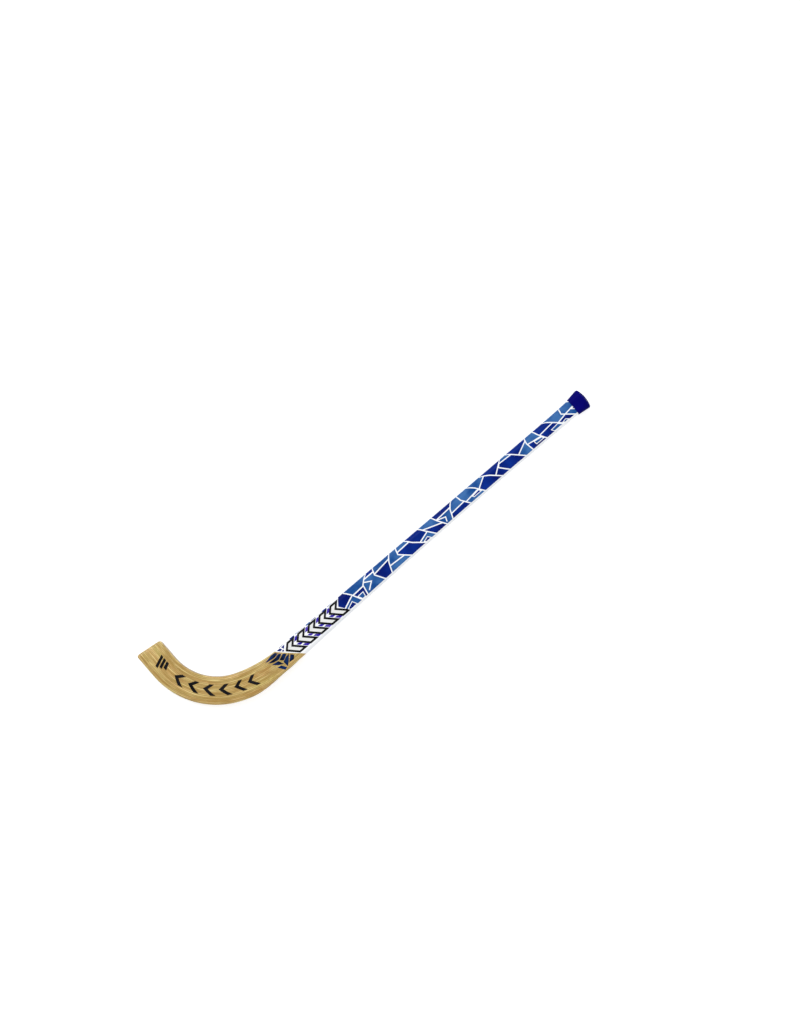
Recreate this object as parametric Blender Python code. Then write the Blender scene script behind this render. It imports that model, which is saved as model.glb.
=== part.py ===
"""Mini rink hockey stick: bent laminated wood, a printed film sleeve and a moulded butt cap.

Metres, +Z up. The stick lies flat on its broad side. X runs along the straight shaft towards the
butt, Y points to the hollow side of the blade, Z is the stick's thickness. The origin is under the
middle of the whole stick.

Every piece is laid out on the inner edge, the line that runs along the hollow side. A point of the
stick has a distance s along that line, 0 where the bend meets the straight shaft and negative
towards the toe, and a distance t across it, outwards from the hollow side.
"""

import math

import bpy
import numpy as np
from mathutils import Vector

# The inner edge: a short straight toe, a tight arc, a slow arc and the straight shaft
TOE_LENGTH = 0.0268
BEND_RADIUS = 0.0642
BEND_TURN = math.radians(68.3)
HEEL_RADIUS = 0.1545
HEEL_TURN = math.radians(21.5)
SHAFT_LENGTH = 0.4628
TOE_SKEW = math.radians(7.0)
TOE_CORNER = 0.0035

# The outline across the stick, from the inner edge outwards
BLADE_WIDTH = 0.0333
HEEL_WIDTH = 0.0273
SHAFT_WIDTH = 0.0191
HEEL_BLEND_START = -0.0500
HEEL_BLEND_END = -0.0040
TAPER_LENGTH = 0.3600
TAPER_POWER = 1.8

# Thickness, and the rounding of the long edges
BLADE_DEPTH = 0.0150
SHAFT_DEPTH = 0.0140
BLADE_EDGE_RADIUS = 0.0035
SHAFT_EDGE_RADIUS = 0.0055
DEPTH_BLEND_START = -0.0600
DEPTH_BLEND_END = 0.0500
LEAST_EDGE_FLAT = 0.0005

# The flare that keeps the butt cap on
FLARE_LENGTH = 0.0780
FLARE_INNER = 0.0016
FLARE_OUTER = 0.0006
FLARE_DEPTH = 0.0006
FLARE_POWER = 3.0

# Laminations and glue lines
VENEER_THICKNESS = 0.00147
GLUE_GAP = 0.0003
THINNEST_FEATHER = 0.0003

# Printed film sleeve, cut on a slant at the heel
FILM_WALL = 0.00035
FILM_FIT = 0.0003
FILM_START = -0.0040
FILM_SLANT = 1.0
FILM_SHORT_OF_END = 0.0035
COVER_RAMP = 0.0250

# Butt cap
CAP_SOCKET = 0.0131
CAP_FIT = 0.0003
CAP_LIP_WALL = 0.00045
CAP_WALL = 0.0020
CAP_SHOULDER = 0.0024
CAP_SHOULDER_TURN = math.radians(72.0)
CAP_CROWN = 0.0034

# Mesh fineness
BEND_STEP = math.radians(5.8)
TAPER_STATIONS = 10
FLARE_STATIONS = 5
SLANT_STATIONS = 4
SLANT_EASE = 0.0090
CAP_STATIONS = 4
CROWN_RINGS = (0.72, 0.40, 0.12)
TOE_ROUND_STEPS = (0.0, 0.12, 0.45, 1.0)
FLAT_LEVELS = 2
ROUNDED_LEVELS = 4
LEVEL_CROWDING = 1.5
CORNER_SEGMENTS = 4
KEPT_SHARP = math.radians(35.0)

# Colours, linear RGB
PALE_WOOD = (0.550, 0.410, 0.170)
DEEP_WOOD = (0.440, 0.310, 0.105)
TONE_STEP = 0.382
PRINTED_FILM = (0.245, 0.318, 0.488)
CAP_NAVY = (0.006, 0.003, 0.140)

HEEL_ARC = HEEL_RADIUS * HEEL_TURN
BEND_ARC = BEND_RADIUS * BEND_TURN
BEND_END = -(HEEL_ARC + BEND_ARC)
TOE_END = BEND_END - TOE_LENGTH
FLARE_START = SHAFT_LENGTH - FLARE_LENGTH
CAP_START = SHAFT_LENGTH - CAP_SOCKET
FILM_END = SHAFT_LENGTH - FILM_SHORT_OF_END
COVER = FILM_WALL + FILM_FIT
PITCH = VENEER_THICKNESS + GLUE_GAP
VENEER_COUNT = round(BLADE_WIDTH / PITCH)
RING_POINTS = 4 * (CORNER_SEGMENTS + 1)


def smooth(start, end, s):
    """0 before start, 1 after end, and a smooth S between."""
    u = np.clip((s - start) / (end - start), 0.0, 1.0)
    return u * u * (3.0 - 2.0 * u)


def place(s, t):
    """Plan points at distance s along the inner edge and t outwards from it."""
    s, t = np.broadcast_arrays(np.asarray(s, float), np.asarray(t, float))
    heel = np.clip(-s, 0.0, HEEL_ARC) / HEEL_RADIUS
    turn = heel + np.clip(-s - HEEL_ARC, 0.0, BEND_ARC) / BEND_RADIUS
    past_bend = np.maximum(BEND_END - s, 0.0)
    x = (
        np.maximum(s, 0.0)
        - HEEL_RADIUS * np.sin(heel)
        - BEND_RADIUS * (np.sin(turn) - np.sin(heel))
        - past_bend * np.cos(turn)
    )
    y = (
        HEEL_RADIUS * (1.0 - np.cos(heel))
        + BEND_RADIUS * (np.cos(heel) - np.cos(turn))
        + past_bend * np.sin(turn)
    )
    return np.stack([x - t * np.sin(turn), y - t * np.cos(turn)], axis=-1)


def flare(s):
    """How far along the butt's flare s is: 0 on the plain shaft, 1 where the wood ends."""
    return np.clip((s - FLARE_START) / FLARE_LENGTH, 0.0, 1.0) ** FLARE_POWER


def edges(s):
    """The finished stick's inner and outer edge at s."""
    taper = np.clip(1.0 - np.maximum(s, 0.0) / TAPER_LENGTH, 0.0, 1.0) ** TAPER_POWER
    blade = 1.0 - smooth(HEEL_BLEND_START, HEEL_BLEND_END, s)
    width = SHAFT_WIDTH + (HEEL_WIDTH - SHAFT_WIDTH) * taper + (BLADE_WIDTH - HEEL_WIDTH) * blade
    return -FLARE_INNER * flare(s), width + FLARE_OUTER * flare(s)


def half_depth(s):
    """Half the finished stick's thickness at s."""
    blend = smooth(DEPTH_BLEND_START, DEPTH_BLEND_END, s)
    return 0.5 * (BLADE_DEPTH + (SHAFT_DEPTH - BLADE_DEPTH) * blend) + FLARE_DEPTH * flare(s)


def edge_radius(s):
    """The rounding of the long edges at s, which always leaves a little flat on every side."""
    blend = smooth(DEPTH_BLEND_START, DEPTH_BLEND_END, s)
    wanted = BLADE_EDGE_RADIUS + (SHAFT_EDGE_RADIUS - BLADE_EDGE_RADIUS) * blend
    inner, outer = edges(s)
    room = np.minimum(half_depth(s), 0.5 * (outer - inner)) - LEAST_EDGE_FLAT
    return np.minimum(wanted, room)


def cover(s):
    """How far the wood lies under the finished outline, to make room for the film."""
    return COVER * smooth(FILM_START - COVER_RAMP, FILM_START, s)


def toe_line(t):
    """The distance along at which the toe's end face lies, skewed, with rounded corners."""
    from_edge = np.minimum(np.minimum(t, BLADE_WIDTH - t), TOE_CORNER)
    corner = TOE_CORNER - np.sqrt(TOE_CORNER**2 - (TOE_CORNER - from_edge) ** 2)
    return TOE_END - t * math.tan(TOE_SKEW) + corner


def wood_depth(s, t):
    """Half the wood's thickness at a point, rounded off near the outline of the wood."""
    inner, outer = edges(s)
    from_side = np.minimum(t - inner, outer - t) - cover(s)
    from_toe = (s - TOE_END + t * math.tan(TOE_SKEW)) * math.cos(TOE_SKEW)
    in_corner = (from_side < TOE_CORNER) & (from_toe < TOE_CORNER)
    from_corner = TOE_CORNER - np.hypot(TOE_CORNER - from_side, TOE_CORNER - from_toe)
    inside = np.where(in_corner, from_corner, np.minimum(from_side, from_toe))
    radius = edge_radius(s) - cover(s)
    short = np.maximum(radius - np.maximum(inside, 0.0), 0.0)
    return half_depth(s) - cover(s) - radius + np.sqrt(radius**2 - short**2)


def material(name, colour, roughness, coat=0.0):
    """A Principled material with a plain colour and finish."""
    made = bpy.data.materials.new(name)
    made.use_nodes = True
    shader = made.node_tree.nodes["Principled BSDF"]
    shader.inputs["Base Color"].default_value = (*colour, 1.0)
    shader.inputs["Roughness"].default_value = roughness
    shader.inputs["Metallic"].default_value = 0.0
    shader.inputs["Coat Weight"].default_value = coat
    made.diffuse_color = (*colour, 1.0)
    return made


def add_object(name, points, faces, finish):
    """A smooth-shaded object whose sharper edges stay sharp."""
    mesh = bpy.data.meshes.new(name)
    mesh.from_pydata(np.reshape(points, (-1, 3)).tolist(), [], faces)
    mesh.materials.append(finish)
    mesh.shade_smooth()
    mesh.set_sharp_from_angle(angle=KEPT_SHARP)
    made = bpy.data.objects.new(name, mesh)
    bpy.context.scene.collection.objects.link(made)
    return made


def strip_faces(first, second, flip=False):
    """Quads between two equally long rows of vertex numbers."""
    quads = np.stack([first[:-1], first[1:], second[1:], second[:-1]], axis=1)
    return (quads[:, ::-1] if flip else quads).tolist()


def grid_faces(numbers, flip=False):
    """Quads over a grid of vertex numbers."""
    rows = zip(numbers[:-1], numbers[1:])
    return [quad for first, second in rows for quad in strip_faces(first, second, flip)]


def ring_grid(loops):
    """Vertex numbers of a list of equal closed rings, with the first column repeated at the end."""
    numbers = np.arange(len(loops) * RING_POINTS).reshape(len(loops), RING_POINTS)
    return np.hstack([numbers, numbers[:, :1]])


def veneer_end(inner_face):
    """Where a lamination runs out: at the outline's taper, or at the end of the wood."""
    s = np.linspace(BEND_END, SHAFT_LENGTH, 4000)
    left = edges(s)[1] - cover(s) - inner_face
    gone = np.flatnonzero(left < THINNEST_FEATHER)
    return float(s[gone[0]]) if len(gone) else SHAFT_LENGTH


def stations(end):
    """Distances along the stick, past the toe, at which the laminations' sections stand."""
    bend_steps = math.ceil(BEND_TURN / BEND_STEP)
    heel_steps = math.ceil(HEEL_TURN / BEND_STEP)
    full_length = np.concatenate([
        np.linspace(BEND_END, -HEEL_ARC, bend_steps + 1),
        np.linspace(-HEEL_ARC, 0.0, heel_steps + 1)[1:],
        np.linspace(0.0, FLARE_START, TAPER_STATIONS + 1)[1:],
        np.linspace(FLARE_START, SHAFT_LENGTH, FLARE_STATIONS + 1)[1:],
    ])
    return np.append(full_length[full_length < end - THINNEST_FEATHER], end)


def levels(inner_face):
    """Shares of a lamination's thickness at which its long edges stand, closer near the outline."""
    near_inner = inner_face < SHAFT_EDGE_RADIUS
    near_outer = inner_face + VENEER_THICKNESS > SHAFT_WIDTH - SHAFT_EDGE_RADIUS
    share = np.linspace(0.0, 1.0, ROUNDED_LEVELS if near_inner or near_outer else FLAT_LEVELS)
    if near_inner and not near_outer:
        return share**LEVEL_CROWDING
    if near_outer and not near_inner:
        return 1.0 - (1.0 - share) ** LEVEL_CROWDING
    return share


def veneer(number, finish):
    """One lamination: a grid of stations along and levels across, on top and mirrored below.

    The first one is thicker stock than the rest, planed to the outline on the hollow side, and the
    last one takes what is left of the blade's width.
    """
    inner_face = number * PITCH
    outer_face = BLADE_WIDTH if number == VENEER_COUNT - 1 else inner_face + VENEER_THICKNESS
    toe_round = BLADE_EDGE_RADIUS * np.array(TOE_ROUND_STEPS)[:, None]
    along = stations(veneer_end(inner_face))[:, None]
    inner, outer = edges(along)
    low = inner + cover(along) if number == 0 else np.maximum(inner_face, inner + cover(along))
    high = np.minimum(outer_face, outer - cover(along))

    share = levels(inner_face)
    toe_t = inner_face + (outer_face - inner_face) * np.repeat(share[None], len(toe_round), axis=0)
    t = np.concatenate([toe_t, low + (high - low) * share])
    s = np.concatenate([toe_line(toe_t) + toe_round, np.repeat(along, len(share), axis=1)])

    plan = place(s, t)
    depth = wood_depth(s, t)
    top = np.concatenate([plan, depth[..., None]], axis=-1)
    bottom = np.concatenate([plan, -depth[..., None]], axis=-1)
    up = np.arange(depth.size).reshape(depth.shape)
    down = up + depth.size
    faces = (
        grid_faces(up)
        + grid_faces(down, flip=True)
        + strip_faces(up[:, 0], down[:, 0])
        + strip_faces(up[:, -1], down[:, -1], flip=True)
        + strip_faces(up[0], down[0], flip=True)
        + strip_faces(up[-1], down[-1])
    )
    return add_object(f"veneer_{number + 1:02d}", np.stack([top, bottom]), faces, finish)


def section(s, inset):
    """A ring round the stick, a rounded rectangle inset from the finished outline.

    s holds one distance for each point of the ring. A negative inset grows the ring.
    """
    turn = np.linspace(0.0, 0.5 * math.pi, CORNER_SEGMENTS + 1)
    angle = np.concatenate([turn + quarter * 0.5 * math.pi for quarter in range(4)])
    side = np.repeat((1.0, -1.0, -1.0, 1.0), len(turn))
    face = np.repeat((1.0, 1.0, -1.0, -1.0), len(turn))
    inner, outer = edges(s)
    radius = edge_radius(s) - inset
    half_width = 0.5 * (outer - inner) - inset
    t = 0.5 * (inner + outer) + side * (half_width - radius) + radius * np.cos(angle)
    z = face * (half_depth(s) - inset - radius) + radius * np.sin(angle)
    return t, z


def ring(s, inset):
    """The points in space of a section. s is one distance, or one for each point."""
    s = np.broadcast_to(np.asarray(s, float), (RING_POINTS,))
    t, z = section(s, inset)
    return np.concatenate([place(s, t), z[:, None]], axis=1)


def printed_sleeve(finish):
    """A thin tube of film over the shaft, cut on a slant at the heel and tucked into the cap."""
    heel_t = section(np.full(RING_POINTS, FILM_START), 0.0)[0]
    slanted = FILM_START + FILM_SLANT * heel_t
    square = slanted.max() + SLANT_EASE
    ease = np.linspace(0.0, 1.0, SLANT_STATIONS)[:, None]
    rows = [
        *(slanted + (square - slanted) * ease),
        *np.linspace(square, FLARE_START, TAPER_STATIONS + 1)[1:],
        *np.linspace(FLARE_START, FILM_END, FLARE_STATIONS + 1)[1:],
    ]
    outside = [ring(s, 0.0) for s in rows]
    inside = [ring(s, FILM_WALL) for s in rows]
    loops = np.array(outside + inside[::-1])
    numbers = ring_grid(loops)
    faces = grid_faces(np.vstack([numbers, numbers[:1]]), flip=True)
    return add_object("printed_sleeve", loops, faces, finish)


def butt_cap(finish):
    """A moulded cup with a socket for the flared butt, a thin lip and a crowned end."""
    side = np.linspace(CAP_START, SHAFT_LENGTH, CAP_STATIONS)
    wall = np.linspace(CAP_LIP_WALL, CAP_WALL, CAP_STATIONS)
    outside = [ring(s, -(CAP_FIT + w)) for s, w in zip(side, wall)]

    widest = outside[-1]
    middle = 0.5 * (widest.min(axis=0) + widest.max(axis=0))
    reach = 0.5 * (widest.max(axis=0) - widest.min(axis=0))
    for turn in np.linspace(0.0, CAP_SHOULDER_TURN, CAP_STATIONS)[1:]:
        inset = CAP_SHOULDER * (1.0 - math.cos(turn))
        drawn_in = middle + (widest - middle) * [1.0, 1.0 - inset / reach[1], 1.0 - inset / reach[2]]
        drawn_in[:, 0] = SHAFT_LENGTH + CAP_SHOULDER * math.sin(turn)
        outside.append(drawn_in)
    rim = outside[-1]
    for share in CROWN_RINGS:
        crown = middle + (rim - middle) * share
        crown[:, 0] = rim[0, 0] + CAP_CROWN * (1.0 - share**2)
        outside.append(crown)

    floor = SHAFT_LENGTH + CAP_FIT
    inside = [ring(s, -CAP_FIT) for s in np.linspace(CAP_START, floor, CAP_STATIONS)]
    loops = np.array(outside[::-1] + inside)
    numbers = ring_grid(loops)
    faces = grid_faces(numbers)
    faces.append(numbers[0, -1:0:-1].tolist())
    faces.append(numbers[-1, :-1].tolist())
    return add_object("butt_cap", loops, faces, finish)


def wood_finish(number):
    """Varnished wood for one lamination, each a little paler or deeper than its neighbours."""
    share = (number * TONE_STEP) % 1.0
    tone = [pale + (deep - pale) * share for pale, deep in zip(PALE_WOOD, DEEP_WOOD)]
    return material(f"varnished_wood_{number + 1:02d}", tone, roughness=0.38, coat=0.3)


def stand_on_origin(pieces):
    """Moves all pieces so that the origin is under the middle of the stick, on its lowest level."""
    corners = np.array([v.co for piece in pieces for v in piece.data.vertices])
    low, high = corners.min(axis=0), corners.max(axis=0)
    shift = -0.5 * (low + high)
    shift[2] = -low[2]
    for piece in pieces:
        piece.location = Vector(shift)


def build():
    """Clears the scene and makes the stick."""
    for old in list(bpy.data.objects):
        bpy.data.objects.remove(old)
    pieces = [veneer(number, wood_finish(number)) for number in range(VENEER_COUNT)]
    pieces.append(printed_sleeve(material("printed_film", PRINTED_FILM, roughness=0.3)))
    pieces.append(butt_cap(material("navy_moulding", CAP_NAVY, roughness=0.5)))
    stand_on_origin(pieces)


build()
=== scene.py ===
"""The mini hockey stick's looks: varnished veneers, a printed film sleeve and a moulded butt cap."""

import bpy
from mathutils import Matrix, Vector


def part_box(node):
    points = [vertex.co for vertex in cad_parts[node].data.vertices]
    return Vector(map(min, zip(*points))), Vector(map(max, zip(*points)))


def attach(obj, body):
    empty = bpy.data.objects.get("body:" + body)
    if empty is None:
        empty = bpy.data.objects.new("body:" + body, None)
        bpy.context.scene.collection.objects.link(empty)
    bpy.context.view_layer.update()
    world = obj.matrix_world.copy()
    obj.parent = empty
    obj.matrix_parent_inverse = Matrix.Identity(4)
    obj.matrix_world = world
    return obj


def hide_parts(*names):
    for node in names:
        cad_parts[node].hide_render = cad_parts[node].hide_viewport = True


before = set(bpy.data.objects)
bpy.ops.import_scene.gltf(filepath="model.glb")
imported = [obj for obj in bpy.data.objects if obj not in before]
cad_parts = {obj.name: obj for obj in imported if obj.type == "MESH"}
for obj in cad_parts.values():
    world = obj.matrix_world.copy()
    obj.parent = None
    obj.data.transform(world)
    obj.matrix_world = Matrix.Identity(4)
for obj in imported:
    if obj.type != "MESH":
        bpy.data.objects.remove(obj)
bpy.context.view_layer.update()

import math

import bpy
import numpy as np

# Veneers
# Strips of pale hardwood veneer, steamed round the bend and glued side by side. The broad sides show
# the edges of the strips and the glue lines between them, under a clear varnish. The outline is
# planed after gluing, so the outer strips run out where the stick tapers.

TOE_LENGTH = 0.0268
BEND_RADIUS = 0.0642
BEND_TURN = math.radians(68.3)
HEEL_RADIUS = 0.1545
HEEL_TURN = math.radians(21.5)
SHAFT_LENGTH = 0.4628
TOE_SKEW = math.radians(7.0)
TOE_CORNER = 0.0035
BLADE_WIDTH = 0.0333
HEEL_WIDTH = 0.0273
SHAFT_WIDTH = 0.0191
HEEL_BLEND = (-0.0500, -0.0040)
TAPER_LENGTH = 0.3600
TAPER_POWER = 1.8
BLADE_DEPTH = 0.0150
SHAFT_DEPTH = 0.0140
BLADE_EDGE_RADIUS = 0.0035
SHAFT_EDGE_RADIUS = 0.0055
DEPTH_BLEND = (-0.0600, 0.0500)
FLARE_LENGTH = 0.0780
FLARE_INNER = 0.0016
FLARE_OUTER = 0.0006
FLARE_DEPTH = 0.0006
FLARE_POWER = 3.0
VENEER_PITCH = 0.00177
VENEER_COUNT = 19
GLUE_LINE = 0.00004
FEATHER = 0.0002
FILM_START = -0.0040
VARNISH = 0.000025
FILM_BED = 0.00016
FILM_BED_RAMP = 0.0250
TOE_ROWS = 12
BEND_ROWS = 58
HEEL_ROWS = 30
SHAFT_ROWS = 78
BUTT_ROWS = 20
RIM_STEPS = 9
LEVELS = 13
OUTLINE_STEPS = 6000
SHARP_ANGLE = math.radians(35.0)
MIDDLE_TONE = 0.41
TONE_SPREAD = 0.66
TONE_SWING = 0.20
# A wave has a depth, a length and a step from strip to strip. A streak has a depth, a place and a reach
# along, and a place and a width across.
TONE_WAVES = ((0.18, 0.0210, 1.7), (0.15, 0.0061, 2.9))
TONE_STREAKS = ((0.60, -0.130, 0.024, 0.0058, 0.0024), (0.24, -0.070, 0.030, 0.0290, 0.0030))
# Painted highlight: the strips are painted paler along the inner edge and towards the toe's end.
PAINTED_EDGE_HIGHLIGHT = (0.30, 0.0010, 0.0026)
PAINTED_TOE_HIGHLIGHT = (0.18, -0.130, -0.146)

HEEL_ARC = HEEL_RADIUS * HEEL_TURN
BEND_ARC = BEND_RADIUS * BEND_TURN
BEND_END = -(HEEL_ARC + BEND_ARC)
TOE_END = BEND_END - TOE_LENGTH + VARNISH
FLARE_START = SHAFT_LENGTH - FLARE_LENGTH


def smooth(start, end, s):
    """An S curve of s: 0 before start, 1 after end, 3u^2 - 2u^3 between."""
    u = np.clip((s - start) / (end - start), 0.0, 1.0)
    return u * u * (3.0 - 2.0 * u)


def flare(s):
    """The butt's flare, from 0 on the plain shaft to 1 at the wood's end, rising as a cube."""
    return np.clip((s - FLARE_START) / FLARE_LENGTH, 0.0, 1.0) ** FLARE_POWER


def edges(s):
    """Inner and outer edge at s: the shaft's width, plus a power taper, plus the blade's swelling."""
    taper = np.clip(1.0 - np.maximum(s, 0.0) / TAPER_LENGTH, 0.0, 1.0) ** TAPER_POWER
    blade = 1.0 - smooth(*HEEL_BLEND, s)
    width = SHAFT_WIDTH + (HEEL_WIDTH - SHAFT_WIDTH) * taper + (BLADE_WIDTH - HEEL_WIDTH) * blade
    return -FLARE_INNER * flare(s), width + FLARE_OUTER * flare(s)


def half_depth(s):
    """Half the thickness at s, blended from blade to shaft, plus the flare."""
    depth = BLADE_DEPTH + (SHAFT_DEPTH - BLADE_DEPTH) * smooth(*DEPTH_BLEND, s)
    return 0.5 * depth + FLARE_DEPTH * flare(s)


def edge_radius(s):
    """The rounding of the long edges at s, blended from blade to shaft."""
    return BLADE_EDGE_RADIUS + (SHAFT_EDGE_RADIUS - BLADE_EDGE_RADIUS) * smooth(*DEPTH_BLEND, s)


def plan(s, t):
    """Distance s along the inner edge and t outwards, as x and y.

    The inner edge is a straight toe, a tight arc, a slow arc and a straight shaft, and t is laid off
    square to it.
    """
    heel = np.clip(-s, 0.0, HEEL_ARC) / HEEL_RADIUS
    turn = heel + np.clip(-s - HEEL_ARC, 0.0, BEND_ARC) / BEND_RADIUS
    toe = np.maximum(BEND_END - s, 0.0)
    along = np.maximum(s, 0.0) - HEEL_RADIUS * np.sin(heel)
    along = along - BEND_RADIUS * (np.sin(turn) - np.sin(heel)) - toe * np.cos(turn)
    across = HEEL_RADIUS * (1.0 - np.cos(heel)) + BEND_RADIUS * (np.cos(heel) - np.cos(turn))
    across = across + toe * np.sin(turn)
    return along - t * np.sin(turn), across - t * np.cos(turn)


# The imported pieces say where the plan's own zero lies in the row frame
FILM_END = 0.4593
zero = np.array([
    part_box("veneer_02")[1][0] - SHAFT_LENGTH,
    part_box("printed_sleeve")[1][1] + edges(FILM_END)[0],
    0.5 * (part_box("veneer_10")[0][2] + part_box("veneer_10")[1][2]),
])


def place(s, t, z):
    """Points at s along, t outwards and z above the stick's middle plane, in the row frame."""
    s, t, z = np.broadcast_arrays(s, t, z)
    x, y = plan(s, t)
    return np.stack([x, y, z], axis=-1) + zero


def bed(s):
    """How far the wood lies under the finished outline, to take the film and the varnish."""
    return VARNISH + FILM_BED * smooth(FILM_START - FILM_BED_RAMP, FILM_START, s)


def toe_line(t):
    """The toe's end face: skewed, with a quarter circle at each corner."""
    from_edge = np.minimum(np.minimum(t, BLADE_WIDTH - t), TOE_CORNER)
    corner = TOE_CORNER - np.sqrt(TOE_CORNER**2 - (TOE_CORNER - from_edge) ** 2)
    return TOE_END - t * math.tan(TOE_SKEW) + corner


def wood_depth(s, t):
    """Half the wood's thickness: full inside, and a quarter circle down to the outline."""
    inner, outer = edges(s)
    from_side = np.minimum(t - inner, outer - t) - bed(s)
    from_toe = (s - TOE_END + t * math.tan(TOE_SKEW)) * math.cos(TOE_SKEW)
    in_corner = (from_side < TOE_CORNER) & (from_toe < TOE_CORNER)
    from_corner = TOE_CORNER - np.hypot(TOE_CORNER - from_side, TOE_CORNER - from_toe)
    inside = np.where(in_corner, from_corner, np.minimum(from_side, from_toe))
    radius = edge_radius(s) - bed(s)
    short = np.maximum(radius - np.maximum(inside, 0.0), 0.0)
    return half_depth(s) - bed(s) - radius + np.sqrt(np.maximum(radius**2 - short**2, 0.0))


def grid_quads(numbers, flip=False):
    """All quads of a grid of vertex numbers, as one array."""
    corners = (numbers[:-1, :-1], numbers[:-1, 1:], numbers[1:, 1:], numbers[1:, :-1])
    quads = np.stack(corners, axis=-1).reshape(-1, 4)
    return quads[:, ::-1] if flip else quads


def closed_tube(rings):
    """Quads of a tube of flat rings, each a row of upper points and the same row back underneath."""
    count = rings.shape[1]
    numbers = np.arange(len(rings) * count).reshape(len(rings), count)
    half = count // 2
    start = np.stack([numbers[0, :half], numbers[0, :half - 1:-1]])
    end = np.stack([numbers[-1, :half], numbers[-1, :half - 1:-1]])
    around = grid_quads(np.hstack([numbers, numbers[:, :1]]))
    return np.concatenate([around, grid_quads(start, flip=True), grid_quads(end)])


def add_piece(name, points, quads, finish, ends=()):
    """A smooth-shaded mesh of quads and a few round ends, with edges over the sharp angle kept sharp."""
    mesh = bpy.data.meshes.new(name)
    mesh.from_pydata(points.reshape(-1, 3).tolist(), [], quads.tolist() + list(ends))
    mesh.materials.append(finish)
    mesh.shade_smooth()
    mesh.set_sharp_from_angle(angle=SHARP_ANGLE)
    piece = bpy.data.objects.new(name, mesh)
    bpy.context.scene.collection.objects.link(piece)
    return piece


def stations(end):
    """Distances along at which a strip is cut: close in the bend, wide along the shaft."""
    bend = np.linspace(BEND_END, -HEEL_ARC, BEND_ROWS)
    heel = np.linspace(-HEEL_ARC, 0.0, HEEL_ROWS)[1:]
    shaft = np.linspace(0.0, FLARE_START, SHAFT_ROWS)[1:]
    butt = np.linspace(FLARE_START, SHAFT_LENGTH, BUTT_ROWS)[1:]
    toe = np.linspace(TOE_END + BLADE_EDGE_RADIUS + TOE_CORNER, BEND_END, TOE_ROWS)[:-1]
    every = np.concatenate([toe, bend, heel, shaft, butt])
    return np.append(every[every < end - FEATHER], end)


def strip(number):
    """One veneer as a tube of sections.

    A section runs up the levels on the broad side and back down them underneath. The toe's first
    sections step back from the end face by a cosine, which rounds its rim.
    """
    low_face = number * VENEER_PITCH
    last = number == VENEER_COUNT - 1
    high_face = BLADE_WIDTH if last else low_face + VENEER_PITCH - GLUE_LINE
    every = np.linspace(BEND_END, SHAFT_LENGTH, OUTLINE_STEPS)
    gone = np.flatnonzero(edges(every)[1] - bed(every) - low_face < FEATHER)
    end = every[gone[0]] if len(gone) else SHAFT_LENGTH

    turn = np.linspace(0.0, 0.5 * math.pi, RIM_STEPS)
    toe_steps = (BLADE_EDGE_RADIUS * (1.0 - np.cos(turn)))[:, None]
    levels = 0.5 - 0.5 * np.cos(np.linspace(0.0, math.pi, LEVELS))
    toe_t = np.repeat((low_face + (high_face - low_face) * levels)[None], len(toe_steps), axis=0)
    toe_s = toe_line(toe_t) + toe_steps

    along = stations(end)[:, None]
    inner, outer = edges(along)
    low = inner + bed(along) if number == 0 else np.full_like(along, low_face)
    high = np.maximum(np.minimum(high_face, outer - bed(along)), low + 0.5 * FEATHER)
    t = np.concatenate([toe_t, low + (high - low) * levels])
    s = np.concatenate([toe_s, np.repeat(along, len(levels), axis=1)])
    depth = wood_depth(s, t)

    top, under = place(s, t, depth), place(s, t, -depth)
    rings = np.concatenate([top, under[:, ::-1]], axis=1)

    sections = np.concatenate([s, s[:, ::-1]], axis=1)
    across = np.concatenate([t, t[:, ::-1]], axis=1)
    height = np.concatenate([depth, -depth[:, ::-1]], axis=1)
    facts = {
        "along": sections, "across": across, "height": height,
        "to_glue": np.minimum(across - across.min(axis=1, keepdims=True),
                              across.max(axis=1, keepdims=True) - across),
        "end_grain": np.where(np.arange(len(rings))[:, None] < 2, 1.0, 0.0) + 0.0 * sections,
    }
    return rings, closed_tube(rings), facts


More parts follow.
